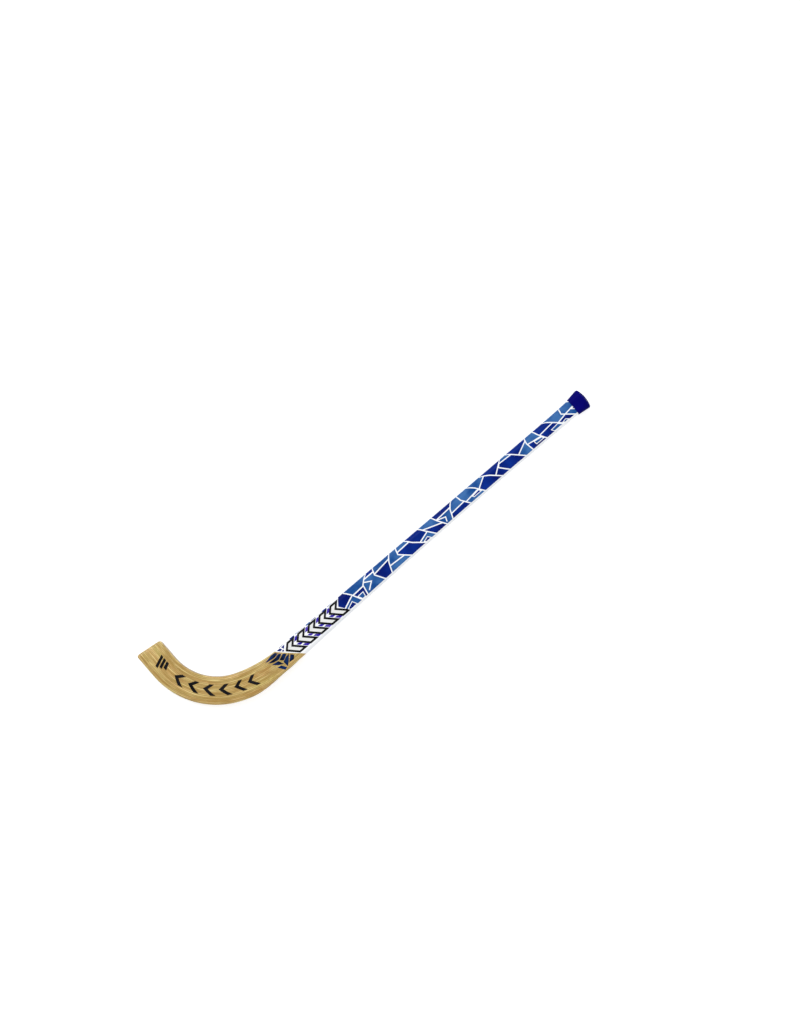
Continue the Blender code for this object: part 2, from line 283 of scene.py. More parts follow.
def varnished_wood():
    """Pale hardwood under varnish, its figure laid along the strip by the piece's own attributes."""
    made = bpy.data.materials.new("varnished_wood")
    made.use_nodes = True
    nodes, links = made.node_tree.nodes, made.node_tree.links
    shader = nodes["Principled BSDF"]
    shader.inputs["Coat Weight"].default_value = 0.22
    shader.inputs["Coat Roughness"].default_value = 0.14
    shader.inputs["Specular IOR Level"].default_value = 0.22

    def attribute(name):
        node = nodes.new("ShaderNodeAttribute")
        node.attribute_name = name
        return node

    def noise(figure, scale, detail, roughness=0.5):
        mapping = nodes.new("ShaderNodeMapping")
        mapping.inputs["Scale"].default_value = scale
        links.new(figure.outputs["Vector"], mapping.inputs["Vector"])
        node = nodes.new("ShaderNodeTexNoise")
        node.inputs["Scale"].default_value = 1.0
        node.inputs["Detail"].default_value = detail
        node.inputs["Roughness"].default_value = roughness
        links.new(mapping.outputs["Vector"], node.inputs["Vector"])
        return node.outputs["Fac"]

    def spread(value, low, high, out_low=0.0, out_high=1.0):
        node = nodes.new("ShaderNodeMapRange")
        node.interpolation_type = "SMOOTHSTEP"
        node.inputs["From Min"].default_value = low
        node.inputs["From Max"].default_value = high
        node.inputs["To Min"].default_value = out_low
        node.inputs["To Max"].default_value = out_high
        links.new(value, node.inputs["Value"])
        return node.outputs["Result"]

    def mix(share, first, second):
        node = nodes.new("ShaderNodeMix")
        node.data_type = "RGBA"
        links.new(share, node.inputs["Factor"])
        for socket, value in ((node.inputs["A"], first), (node.inputs["B"], second)):
            if isinstance(value, tuple):
                socket.default_value = (*value, 1.0)
            else:
                links.new(value, socket)
        return node.outputs["Result"]

    grain = attribute("grain")
    board = attribute("board")
    tone = attribute("tone")
    glue = attribute("to_glue")
    end_grain = attribute("end_grain")

    warm = noise(board, (32.0, 210.0, 60.0), 2.0)
    blotch = noise(board, (75.0, 340.0, 90.0), 3.0, 0.6)
    slow = noise(grain, (34.0, 620.0, 90.0), 3.0, 0.55)
    fine = noise(grain, (90.0, 5200.0, 1400.0), 4.0, 0.62)
    pores = noise(grain, (260.0, 9500.0, 3600.0), 2.0)

    colour = mix(tone.outputs["Fac"], (0.800, 0.630, 0.250), (0.310, 0.182, 0.034))
    colour = mix(spread(warm, 0.50, 0.64, 0.0, 0.46), colour, (0.620, 0.325, 0.105))
    colour = mix(spread(warm, 0.36, 0.50, 0.46, 0.0), colour, (0.500, 0.440, 0.105))
    colour = mix(spread(blotch, 0.50, 0.66, 0.0, 0.58), colour, (0.330, 0.196, 0.050))
    colour = mix(spread(blotch, 0.34, 0.50, 0.42, 0.0), colour, (0.790, 0.640, 0.300))
    colour = mix(spread(slow, 0.38, 0.63, 0.0, 0.72), colour, (0.410, 0.252, 0.057))
    colour = mix(spread(fine, 0.44, 0.70, 0.0, 0.68), colour, (0.285, 0.168, 0.040))
    colour = mix(spread(pores, 0.60, 0.74, 0.0, 0.60), colour, (0.130, 0.066, 0.017))
    colour = mix(spread(glue.outputs["Fac"], 0.00003, 0.00020, 0.86, 0.0), colour, (0.150, 0.078, 0.022))
    colour = mix(spread(end_grain.outputs["Fac"], 0.0, 1.0, 0.0, 0.35), colour, (0.290, 0.175, 0.055))
    links.new(colour, shader.inputs["Base Color"])
    links.new(spread(fine, 0.25, 0.75, 0.34, 0.46), shader.inputs["Roughness"])

    bump = nodes.new("ShaderNodeBump")
    bump.inputs["Strength"].default_value = 0.25
    bump.inputs["Distance"].default_value = 0.00005
    links.new(fine, bump.inputs["Height"])
    links.new(bump.outputs["Normal"], shader.inputs["Normal"])
    return made


def strip_tones(number, s, t):
    """How deep a strip's colour is: its own tone, slow waves along it, stained streaks and painted
    highlights.

    The strips' own tones step by the golden section and swing in a slow sine. A streak is a bell both
    along and across. The inner edge and the toe's end are painted paler, as a painted highlight.
    """
    tone = MIDDLE_TONE + TONE_SPREAD * ((0.6180 * number) % 1.0 - 0.5)
    tone = tone + TONE_SWING * math.sin(1.30 * number + 0.6)
    for depth, length, step in TONE_WAVES:
        tone = tone + depth * np.sin(s / length + step * number)
    for depth, along, reach, across, width in TONE_STREAKS:
        tone = tone + depth * np.exp(-((s - along) / reach) ** 2 - ((t - across) / width) ** 2)
    # Painted highlight: paler along the inner edge, then paler over the toe's end.
    depth, across, width = PAINTED_EDGE_HIGHLIGHT
    tone = tone - depth * np.exp(-((t - across) / width) ** 2)
    depth, start, end = PAINTED_TOE_HIGHLIGHT
    return np.clip(tone - depth * smooth(start, end, s), 0.0, 1.0)


wood = varnished_wood()
for number in range(VENEER_COUNT):
    node = f"veneer_{number + 1:02d}"
    points, quads, facts = strip(number)
    veneer = add_piece(f"{node}_varnished", points, quads, wood)
    own_figure = (0.7 * number, 0.11 * number, 0.0)
    laid = np.stack([facts["along"], facts["across"], facts["height"]], axis=-1)
    for name, figure in (("grain", laid + own_figure), ("board", laid)):
        layer = veneer.data.attributes.new(name, "FLOAT_VECTOR", "POINT")
        layer.data.foreach_set("vector", figure.astype(np.float32).ravel())
    facts["tone"] = strip_tones(number, facts["along"], facts["across"])
    for fact in ("tone", "to_glue", "end_grain"):
        layer = veneer.data.attributes.new(fact, "FLOAT", "POINT")
        layer.data.foreach_set("value", facts[fact].astype(np.float32).ravel())
    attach(veneer, "root")
    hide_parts(node)

# Film sleeve
# A thin tube of glossy white plastic film, shrunk over the shaft from the heel to under the cap. Its
# lower end is cut on a slant, so that bare wood runs on along the outer edge.

FILM_WALL = 0.00012
FILM_SLANT = 1.0
SLANT_EASE = 0.0090
SLANT_ROWS = 12
FILM_ROWS = 190
CORNER_STEPS = 14
BROAD_STEPS = 8


def spans(s):
    """Half the narrow side, a quarter circle, the broad side and the radius of the section at s."""
    inner, outer = edges(s)
    radius = edge_radius(s)
    return half_depth(s) - radius, 0.5 * math.pi * radius, outer - inner - 2.0 * radius, radius


def section(s, b):
    """Across, height and lean of the skin at s, b round the section from the middle of the inner side.

    The section is a rounded rectangle: up the inner side, round a quarter circle, over the broad side,
    round the next quarter circle and down the outer side. b below 0 is the same way underneath. The
    lean is the angle between the skin's normal and the inward direction.
    """
    side, quarter, broad, radius = spans(s)
    way = np.abs(b)
    first = np.clip(way - side, 0.0, quarter) / radius
    over = np.clip(way - side - quarter, 0.0, broad)
    second = np.clip(way - side - quarter - broad, 0.0, quarter) / radius
    down = np.maximum(way - side - 2.0 * quarter - broad, 0.0)
    t = edges(s)[0] + radius * (1.0 - np.cos(first)) + over + radius * np.sin(second)
    z = np.minimum(way, side) + radius * np.sin(first) - radius * (1.0 - np.cos(second)) - down
    return t, np.where(b < 0.0, -z, z), first + second


def skin(s, b, lift):
    """The point of the section at s and b, moved out along its normal by lift."""
    t, z, lean = section(s, b)
    rise = lift * np.sin(lean)
    return place(s, t - lift * np.cos(lean), z + np.where(b < 0.0, -rise, rise))


def round_columns(s):
    """Distances b round the section at s, at which the columns of a tube stand.

    Each is a share of the side, the quarter circle and the broad side, and the way back is negative.
    """
    arc = np.linspace(0.0, 1.0, CORNER_STEPS + 1)
    flat = np.linspace(0.0, 1.0, BROAD_STEPS + 1)[1:-1]
    sides = np.concatenate([[0.0], np.ones(2 * len(arc) + len(flat)), [2.0]])
    quarters = np.concatenate([[0.0], arc, np.ones(len(flat)), 1.0 + arc, [2.0]])
    broads = np.concatenate([np.zeros(1 + len(arc)), flat, np.ones(len(arc) + 1)])
    side, quarter, broad, _ = spans(s)
    shares = [np.concatenate([share, -share[-2:0:-1]]) for share in (sides, quarters, broads)]
    return shares[0] * side + shares[1] * quarter + shares[2] * broad


def film_tube():
    """The outside and inside of the sleeve, from the slanted cut to the butt and back."""
    cut = FILM_START + FILM_SLANT * section(FILM_START, round_columns(FILM_START))[0]
    square = cut.max() + SLANT_EASE
    slanted = cut + (square - cut) * np.linspace(0.0, 1.0, SLANT_ROWS)[:, None]
    straight = np.linspace(square, FILM_END, FILM_ROWS)[1:, None] + 0.0 * cut
    s = np.concatenate([slanted, straight])
    b = round_columns(s)
    return np.concatenate([skin(s, b, 0.0), skin(s, b, -FILM_WALL)[::-1]])


def wrapped(points):
    """Vertex numbers of a grid of points that closes on itself both ways."""
    numbers = np.arange(points.shape[0] * points.shape[1]).reshape(points.shape[:2])
    numbers = np.hstack([numbers, numbers[:, :1]])
    return np.vstack([numbers, numbers[:1]])


def printed_plastic(name, colours, scale, roughness=0.34, gloss=0.04):
    """Glossy film, one colour drifting to another in a soft noise, with the shrinking's faint waves."""
    made = bpy.data.materials.new(name)
    made.use_nodes = True
    nodes, links = made.node_tree.nodes, made.node_tree.links
    shader = nodes["Principled BSDF"]
    shader.inputs["Specular IOR Level"].default_value = gloss
    shader.inputs["Roughness"].default_value = roughness
    spot = nodes.new("ShaderNodeTexCoord")
    drift = nodes.new("ShaderNodeTexNoise")
    drift.inputs["Scale"].default_value = scale
    drift.inputs["Detail"].default_value = 2.0
    ramp = nodes.new("ShaderNodeValToRGB")
    ramp.color_ramp.elements[0].position, ramp.color_ramp.elements[1].position = 0.38, 0.62
    ramp.color_ramp.elements[0].color = (*colours[0], 1.0)
    ramp.color_ramp.elements[1].color = (*colours[1], 1.0)
    wave = nodes.new("ShaderNodeTexNoise")
    wave.inputs["Scale"].default_value = 220.0
    wave.inputs["Detail"].default_value = 1.0
    bump = nodes.new("ShaderNodeBump")
    bump.inputs["Strength"].default_value = 0.2
    bump.inputs["Distance"].default_value = 0.00008
    links.new(spot.outputs["Object"], drift.inputs["Vector"])
    links.new(spot.outputs["Object"], wave.inputs["Vector"])
    links.new(drift.outputs["Fac"], ramp.inputs["Fac"])
    links.new(ramp.outputs["Color"], shader.inputs["Base Color"])
    links.new(wave.outputs["Fac"], bump.inputs["Height"])
    links.new(bump.outputs["Normal"], shader.inputs["Normal"])
    return made


tube = film_tube()
white_film = printed_plastic("white_film", ((0.830, 0.850, 0.880), (0.880, 0.890, 0.905)), 30.0, gloss=0.20)
sleeve = add_piece("film_sleeve", tube, grid_quads(wrapped(tube)), white_film)
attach(sleeve, "root")
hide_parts("printed_sleeve")

# Printed shards
# Blue inks screen printed on the film: angular shards with white lines left open between them. The
# print runs round the shaft from the heel to the cap, up to a plain margin along the outer edge.

PRINT_HALF = 0.0240
PRINT_MARGIN = 0.0022
WHITE_LINE = 0.0014
INK_DEPTH = 0.00004
INK_ROW = 0.0006
INK_COLUMNS = 6
POINT_WIDTH = 0.00006
ROUNDING = 0.000001
SHARDS_START = 0.0868
SHARDS_END = 0.4560
SHARD_PITCH = 0.0195
SHARD_KINK = 0.0035
LEAST_SHARD = 0.0075
SHARD_SEED = 9
FIRST_LEAN = 0.8
SHARD_LEAN = (0.45, 1.10)
SPLIT_RANGE = (0.007, 0.019)
FLIP_CHANCE = 0.06
TINY_AREA = 0.000014
CHIP_AREA = 0.000006
CHIP_STOUTNESS = 0.030
CHIP_CHANCE = 0.75
CHIP_SHARE = (0.50, 0.66)
HOOK_AREA = 0.000100
HOOK_STOUTNESS = 0.040
HOOK_CHANCE = 0.25
HOOK_REACH = 0.7


def wrapped_round(s, c):
    """Distance round the section for c on the drawing, which is equally wide everywhere."""
    side, quarter, broad, radius = spans(s)
    reach = side + quarter + broad + radius * np.arcsin((radius - PRINT_MARGIN) / radius)
    return c * reach / PRINT_HALF


def area(corners):
    """A polygon's area: half the sum of its corners' cross products, whichever way it runs."""
    ahead = np.roll(corners, -1, axis=0)
    return 0.5 * abs(np.sum(corners[:, 0] * ahead[:, 1] - ahead[:, 0] * corners[:, 1]))


def inset(corners, by):
    """A clockwise polygon drawn in by a distance, each corner moved along the mitre of its two sides."""
    step = np.roll(corners, -1, axis=0) - corners
    normal = np.stack([step[:, 1], -step[:, 0]], axis=1) / np.linalg.norm(step, axis=1, keepdims=True)
    before = np.roll(normal, 1, axis=0)
    mitre = (before + normal) / (1.0 + np.sum(before * normal, axis=1, keepdims=True))
    return corners + by * mitre


def stoutness(corners):
    """A polygon's area over the square of the way round it: 1/16 for a square, less when thin."""
    return area(corners) / np.linalg.norm(np.roll(corners, -1, axis=0) - corners, axis=1).sum() ** 2


def hook(shard, width):
    """A bent line from the middle of a shard's first side to its middle and on, as two mitred bars."""
    middle = shard.mean(axis=0)
    path = np.array([0.5 * (shard[0] + shard[1]), middle, middle + HOOK_REACH * (shard[2] - middle)])
    step = np.diff(path, axis=0)
    normal = np.stack([-step[:, 1], step[:, 0]], axis=1) / np.linalg.norm(step, axis=1, keepdims=True)
    mitre = normal.sum(axis=0) / (1.0 + normal[0] @ normal[1])
    aside = 0.5 * width * np.array([normal[0], mitre, normal[1]])
    return [np.array([path[k] + aside[k], path[k + 1] + aside[k + 1], path[k + 1] - aside[k + 1],
                      path[k] - aside[k]]) for k in range(2)]


def patch(corners, lay, low, high):
    """A thin closed shell over a polygon of the drawing, between two lifts from the skin.

    Each row is a line of constant c, cut where it crosses the polygon's sides, and its points are
    evenly spaced between the first and last crossing.
    """
    first, last = corners, np.roll(corners, -1, axis=0)
    under, over = np.minimum(first[:, 1], last[:, 1]), np.maximum(first[:, 1], last[:, 1])
    bottom, top = under.min(), over.max()
    count = max(2, int(math.ceil((top - bottom) / INK_ROW)) + 1)
    rows = np.unique(np.round(np.concatenate([np.linspace(bottom, top, count), corners[:, 1]]), 7))
    sloping = over - under > ROUNDING
    first, last, under, over = first[sloping], last[sloping], under[sloping], over[sloping]
    share = np.clip((rows[:, None] - first[:, 1]) / (last[:, 1] - first[:, 1]), 0.0, 1.0)
    crossing = first[:, 0] + share * (last[:, 0] - first[:, 0])
    met = (rows[:, None] > under - ROUNDING) & (rows[:, None] < over + ROUNDING)
    left = np.min(np.where(met, crossing, np.inf), axis=1)
    right = np.max(np.where(met, crossing, -np.inf), axis=1)
    right = np.maximum(right, left + POINT_WIDTH)
    s = left[:, None] + (right - left)[:, None] * np.linspace(1.0, 0.0, INK_COLUMNS)
    b = lay(s, rows[:, None] + 0.0 * s)
    rings = np.concatenate([skin(s, b, high(s)), skin(s, b, low(s))[:, ::-1]], axis=1)
    return rings if b[-1, 0] > b[0, 0] else rings[::-1]


def on_film(layer):
    """The lower and upper lift of one of the layers of ink that lie on each other on the film."""
    low, high = (layer - 1.4) * INK_DEPTH, (layer + 1.0) * INK_DEPTH
    return (lambda s: low + 0.0 * s), (lambda s: high + 0.0 * s)


def print_shapes(name, shapes, lay, lifts, finish):
    """One piece made of the patches of many polygons, printed in one ink."""
    points, quads, used = [], [], 0
    for corners in shapes:
        rings = patch(np.asarray(corners, float), lay, *lifts)
        points.append(rings.reshape(-1, 3))
        quads.append(closed_tube(rings) + used)
        used += len(points[-1])
    piece = add_piece(name, np.concatenate(points), np.concatenate(quads), finish)
    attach(piece, "root")


def between(left, right, low, high):
    """The polygon between two cuts, each a row of corners, closed by a slanted line at each end."""
    def run(cut, start, end):
        inside = cut[(cut[:, 1] > start + 1e-5) & (cut[:, 1] < end - 1e-5)]
        ends = [[np.interp(c, cut[:, 1], cut[:, 0]), c] for c in (start, end)]
        return [ends[0], *inside.tolist(), ends[1]]
    return np.array(run(left, low[0], high[0]) + run(right, low[1], high[1])[::-1])


def shard_cuts(draw):
    """Kinked cuts across the whole print, each further on than the last by at least the least shard."""
    across = 0.001 * np.array([-24.0, -12.0, -4.0, 4.0, 12.0, 24.0])
    from_middle = np.abs(across) - 0.5 * PRINT_HALF
    count = round((SHARDS_END - SHARDS_START) / SHARD_PITCH)
    pitch = (SHARDS_END - SHARDS_START) / count
    start = SHARDS_START + FIRST_LEAN * np.abs(from_middle)
    cuts = [start]
    for number in range(count + 1):
        lean = draw.choice([-1.0, 1.0]) * draw.uniform(*SHARD_LEAN)
        kink = draw.uniform(-SHARD_KINK, SHARD_KINK, len(across))
        if number > 0:
            cut = SHARDS_START + number * pitch + lean * from_middle + kink
            least = cuts[-1] + LEAST_SHARD * draw.uniform(1.0, 1.6, len(across))
            furthest = SHARDS_END - LEAST_SHARD * (count - number)
            cuts.append(np.clip(np.maximum(cut, least), start, furthest))
    return [np.stack([cut, across], axis=1) for cut in cuts]


def shard_drawing():
    """The shards as polygons for each ink.

    The band between two cuts is split by one slanted line on the front and one on the back. Some shards
    hold a smaller one, drawn in towards one of their corners and ringed with white, and some a hook.
    """
    draw = np.random.default_rng(SHARD_SEED)
    edge = np.array([PRINT_HALF, PRINT_HALF])
    cuts = shard_cuts(draw)
    bands = list(zip(cuts[:-1], cuts[1:]))
    shapes = {"dark": [], "mid": [], "white": [], "dark chip": [], "mid chip": []}
    for number, (left, right) in enumerate(bands):
        back, front = -draw.uniform(*SPLIT_RANGE, 2), draw.uniform(*SPLIT_RANGE, 2)
        for step, (low, high) in enumerate(((-edge, back), (back, front), (front, edge))):
            shard = inset(between(left, right, low, high), 0.5 * WHITE_LINE)
            flip = draw.uniform() < FLIP_CHANCE
            dark = (number + step + flip) % 2 == 1 and number < len(bands) - 1
            chance, share = draw.uniform(0.0, 1.0), draw.uniform(*CHIP_SHARE)
            corner = shard[draw.integers(len(shard))]
            if area(shard) < TINY_AREA:
                continue
            shapes["dark" if dark else "mid"].append(shard)
            ring = corner + (shard - corner) * share
            chip = inset(ring, 0.6 * WHITE_LINE)
            plain = len(shard) == 4
            chip_fits = area(chip) > CHIP_AREA and stoutness(chip) > CHIP_STOUTNESS
            hook_fits = area(shard) > HOOK_AREA and stoutness(shard) > HOOK_STOUTNESS
            if plain and chip_fits and chance < CHIP_CHANCE:
                shapes["white"].append(ring)
                shapes["mid chip" if dark else "dark chip"].append(chip)
            elif hook_fits and (plain or chance < HOOK_CHANCE):
                shapes["white"] += hook(shard, 0.9 * WHITE_LINE)
    return shapes


dark_ink = printed_plastic("dark_blue_ink", ((0.0008, 0.0082, 0.132), (0.0022, 0.0245, 0.235)), 45.0)
mid_ink = printed_plastic("mid_blue_ink", ((0.008, 0.064, 0.250), (0.044, 0.142, 0.370)), 45.0)
drawing = shard_drawing()
print_shapes("dark_shards", drawing["dark"], wrapped_round, on_film(0), dark_ink)
print_shapes("mid_shards", drawing["mid"], wrapped_round, on_film(0), mid_ink)
print_shapes("white_lines", drawing["white"], wrapped_round, on_film(1), white_film)
print_shapes("dark_chips", drawing["dark chip"], wrapped_round, on_film(2), dark_ink)
print_shapes("mid_chips", drawing["mid chip"], wrapped_round, on_film(2), mid_ink)

# Printed chevrons
# White chevrons with a black outline on the film's lower end, and slivers of violet ink in between.
# Both broad sides carry them, and blue shards run on round the inner side.

CHEVRONS = 5
CHEVRON_START = 0.0066
CHEVRON_PITCH = 0.0166
CHEVRON_THICK = 0.0122
CHEVRON_LOW = 0.0012
CHEVRON_TIP = 0.0085
CHEVRON_HIGH = 0.0208
OUTLINE = 0.0025
SLIVERS = ((0.0024, 0.0042), (0.0105, 0.0034), (0.0156, 0.0046))
SLIVER_GAP = 0.0007
SLIVER_WIDTHS = (0.0034, 0.0040)
SIDE_SHARD_START = 0.0020
CORNER_SHARDS = (
    ((-0.0012, 0.0014), (0.0036, 0.0014), (0.0052, 0.0038), (0.0020, 0.0046)),
    ((0.0056, 0.0014), (0.0106, 0.0014), (0.0070, 0.0050)),
    ((0.0030, 0.0056), (0.0058, 0.0048), (0.0062, 0.0058), (0.0052, 0.0074)),
)


def laid_flat(side):
    """A function from a point of the plan to the distance round the section, on one broad side.

    Over the rounded long edges it undoes the section's own circles.
    """
    def lay(s, t):
        straight, quarter, broad, radius = spans(s)
        inward = t - edges(s)[0]
        first = np.arccos(np.clip(1.0 - inward / radius, 0.0, 1.0))
        second = np.arcsin(np.clip((inward - radius - broad) / radius, 0.0, 1.0))
        flat = np.clip(inward - radius, 0.0, broad)
        return side * (straight + radius * (first + second) + flat)
    return lay


def chevron(start, low, tip, high, thick):
    """A chevron that points to the blade, as its two arms, which meet at the tip's level."""
    inner_end, outer_end = start + (tip - low), start + (high - tip)
    return [
        [(inner_end, low), (start, tip), (start + thick, tip), (inner_end + thick, low)],
        [(start, tip), (outer_end, high), (outer_end + thick, high), (start + thick, tip)],
    ]


def chevron_drawing():
    """The outlined chevrons of one broad side, as outlines, whites and the slivers between two of them."""
    aside = OUTLINE * math.sqrt(2.0)
    outlines, whites, slivers = [], [], []
    for number in range(CHEVRONS):
        start = CHEVRON_START + number * CHEVRON_PITCH
        outlines += chevron(start, CHEVRON_LOW, CHEVRON_TIP, CHEVRON_HIGH, CHEVRON_THICK)
        whites += chevron(start + aside, CHEVRON_LOW + OUTLINE, CHEVRON_TIP, CHEVRON_HIGH - OUTLINE,
                          CHEVRON_THICK - 2.0 * aside)
    for number in range(CHEVRONS - 1):
        gap = CHEVRON_START + number * CHEVRON_PITCH + CHEVRON_THICK + SLIVER_GAP
        for level, tall in SLIVERS:
            foot, head = gap + abs(level - CHEVRON_TIP), gap + abs(level + tall - CHEVRON_TIP)
            slivers.append([(foot, level), (head, level + tall), (head + SLIVER_WIDTHS[1], level + tall),
                            (foot + SLIVER_WIDTHS[0], level)])
    return outlines, whites, slivers


def side_shard(number):
    """One slanted shard of the row on the inner side, two to each chevron, in three heights by turns."""
    start = SIDE_SHARD_START + 0.5 * CHEVRON_PITCH * number
    low, high = -0.0046 + 0.0016 * (number % 3), 0.0050 - 0.0013 * ((number + 1) % 3)
    return [(start - 0.0010, low), (start + 0.0012, high), (start + 0.0074, high - 0.0006),
            (start + 0.0052, low + 0.0009)]


black_ink = printed_plastic("black_ink", ((0.004, 0.004, 0.005), (0.010, 0.010, 0.012)), 80.0)
white_ink = printed_plastic("white_ink", ((0.700, 0.705, 0.700), (0.780, 0.780, 0.765)), 60.0, gloss=0.10)
violet_ink = printed_plastic("violet_ink", ((0.022, 0.012, 0.300), (0.075, 0.040, 0.400)), 90.0)
outlines, whites, slivers = chevron_drawing()
for side_name, side in (("front", 1.0), ("back", -1.0)):
    print_shapes(f"chevron_outlines_{side_name}", outlines, laid_flat(side), on_film(0), black_ink)
    print_shapes(f"chevron_whites_{side_name}", whites, laid_flat(side), on_film(1), white_ink)
    print_shapes(f"violet_slivers_{side_name}", slivers, laid_flat(side), on_film(0), violet_ink)
    print_shapes(f"corner_shards_{side_name}", CORNER_SHARDS, laid_flat(side), on_film(0), dark_ink)

dark_sides = [side_shard(number) for number in range(0, 2 * CHEVRONS, 2)]
mid_sides = [side_shard(number) for number in range(1, 2 * CHEVRONS, 2)]
print_shapes("side_shards_dark", dark_sides, wrapped_round, on_film(0), dark_ink)
print_shapes("side_shards_mid", mid_sides, wrapped_round, on_film(0), mid_ink)

# Print on the wood
# Inks printed straight on the wood: navy shards round the heel, just below the film's cut, and black
# chevrons and bars along the blade. Both broad sides carry them. The heel's corners are in millimetres.

HEEL_SHARDS = (
    ((-18.5, 4.6), (-9.5, 1.6), (-4.6, 1.6), (-2.6, 4.2), (-8.5, 5.6)),
    ((-16.5, 7.2), (-8.0, 7.0), (-2.0, 5.6), (0.6, 7.2), (-5.5, 10.4), (-12.0, 9.4)),
    ((-14.0, 11.4), (-7.0, 12.0), (-4.5, 17.5), (-8.5, 15.8)),
    ((-4.8, 11.8), (1.9, 8.6), (5.0, 11.2), (-1.6, 14.8)),
    ((-2.6, 16.4), (3.6, 13.6), (7.0, 13.4), (1.2, 19.8), (-2.0, 22.6)),
    ((2.6, 20.6), (8.6, 15.1), (11.4, 17.9), (8.0, 21.4)),
    ((-11.0, 17.6), (-7.4, 18.2), (-3.9, 23.6), (-6.4, 24.4)),
)
HEEL_SPREAD = 0.00035
BLADE_MARKS = 6
BLADE_MARK_START = -0.1220
BLADE_MARK_PITCH = 0.0150
BLADE_MARK_THICK = 0.0048
BLADE_MARK_LOW = 0.0092
BLADE_MARK_TIP = 0.0150
BLADE_MARK_HIGH = 0.0225
BARS = (0.0140, 0.0110, 0.0080)
BAR_START = -0.1475
BAR_PITCH = 0.0050
BAR_LOW = 0.0095
BAR_THICK = 0.0036
BAR_LEAN = 0.4


def on_wood():
    """The lower and upper lift of ink on the wood, which lies a little deeper towards the film."""
    return (lambda s: -bed(s) - 1.5 * INK_DEPTH), (lambda s: -bed(s) + 1.2 * INK_DEPTH)


def blade_drawing():
    """A row of chevrons along the blade, and three slanted bars at the toe, each less tall."""
    marks = []
    for number in range(BLADE_MARKS):
        marks += chevron(BLADE_MARK_START + number * BLADE_MARK_PITCH, BLADE_MARK_LOW, BLADE_MARK_TIP,
                         BLADE_MARK_HIGH, BLADE_MARK_THICK)
    for number, tall in enumerate(BARS):
        foot, top = BAR_START + BAR_PITCH * number, BAR_LOW + tall
        head = foot + BAR_LEAN * tall
        marks.append([(foot, BAR_LOW), (foot + BAR_THICK, BAR_LOW), (head + BAR_THICK, top), (head, top)])
    return marks


heel_ink = printed_plastic("heel_ink", ((0.0015, 0.0040, 0.016), (0.005, 0.024, 0.105)), 110.0)
heel_drawing = [inset(0.001 * np.array(shard)[::-1], -HEEL_SPREAD) for shard in HEEL_SHARDS]
for side_name, side in (("front", 1.0), ("back", -1.0)):
    print_shapes(f"heel_shards_{side_name}", heel_drawing, laid_flat(side), on_wood(), heel_ink)
    print_shapes(f"blade_marks_{side_name}", blade_drawing(), laid_flat(side), on_wood(), black_ink)

# Butt cap
# A cup of navy rubber, moulded in one piece and pushed over the flared butt and the film's upper end.
# Its lip is thin and rounded, its wall thickens to the butt, and its end is crowned.

CAP_START = SHAFT_LENGTH - 0.0131
CAP_FIT = 0.00028
CAP_LIP_WALL = 0.00045
CAP_WALL = 0.0020
CAP_BASE = 0.0011
CAP_SHOULDER = 0.0025
CAP_SHOULDER_TURN = math.radians(68.0)
CAP_CROWN = 0.0020
CAP_POLE = 0.02
CAP_SIDE_ROWS = 28
CAP_LIP_ROWS = 9
CAP_INSIDE_ROWS = 6
CAP_SHOULDER_ROWS = 12
CAP_CROWN_ROWS = 22


def cap_cup():
    """The cup as rings from the crown's pole, down its side, round the lip and up its inside.

    The side is the stick's skin lifted by a wall that thickens evenly, and runs on past the wood's end.
    The shoulder is a circle's arc and the crown a parabola, both drawn in towards the middle of the
    side's last ring.
    """
    share = np.linspace(0.0, 1.0, CAP_SIDE_ROWS)[:, None]
    side_s = CAP_START + (SHAFT_LENGTH + CAP_BASE - CAP_START) * share
    side = skin(side_s, round_columns(side_s), CAP_FIT + CAP_LIP_WALL + (CAP_WALL - CAP_LIP_WALL) * share)
    half_lip = 0.5 * CAP_LIP_WALL
    turn = np.linspace(0.0, math.pi, CAP_LIP_ROWS)[1:-1, None]
    lip = skin(CAP_START - half_lip * np.sin(turn), round_columns(CAP_START + 0.0 * turn),
               CAP_FIT + half_lip + half_lip * np.cos(turn))
    inside_s = np.linspace(CAP_START, SHAFT_LENGTH + CAP_FIT, CAP_INSIDE_ROWS)[:, None]
    inside = skin(inside_s, round_columns(inside_s), CAP_FIT)

    widest = side[-1]
    middle = 0.5 * (widest.min(axis=0) + widest.max(axis=0))
    reach = 0.5 * (widest.max(axis=0) - widest.min(axis=0))
    turn = np.linspace(0.0, CAP_SHOULDER_TURN, CAP_SHOULDER_ROWS)[1:, None, None]
    drawn = 1.0 - CAP_SHOULDER * (1.0 - np.cos(turn)) / np.array([1.0, reach[1], reach[2]])
    shoulder = middle + (widest - middle) * drawn
    shoulder[..., 0] = widest[0, 0] + CAP_SHOULDER * np.sin(turn[..., 0])
    rim = shoulder[-1]
    share = np.linspace(1.0, CAP_POLE, CAP_CROWN_ROWS)[1:, None, None]
    crown = middle + (rim - middle) * share
    crown[..., 0] = rim[0, 0] + CAP_CROWN * (1.0 - share[..., 0] ** 2)
    return np.concatenate([crown[::-1], shoulder[::-1], side[::-1], lip, inside])


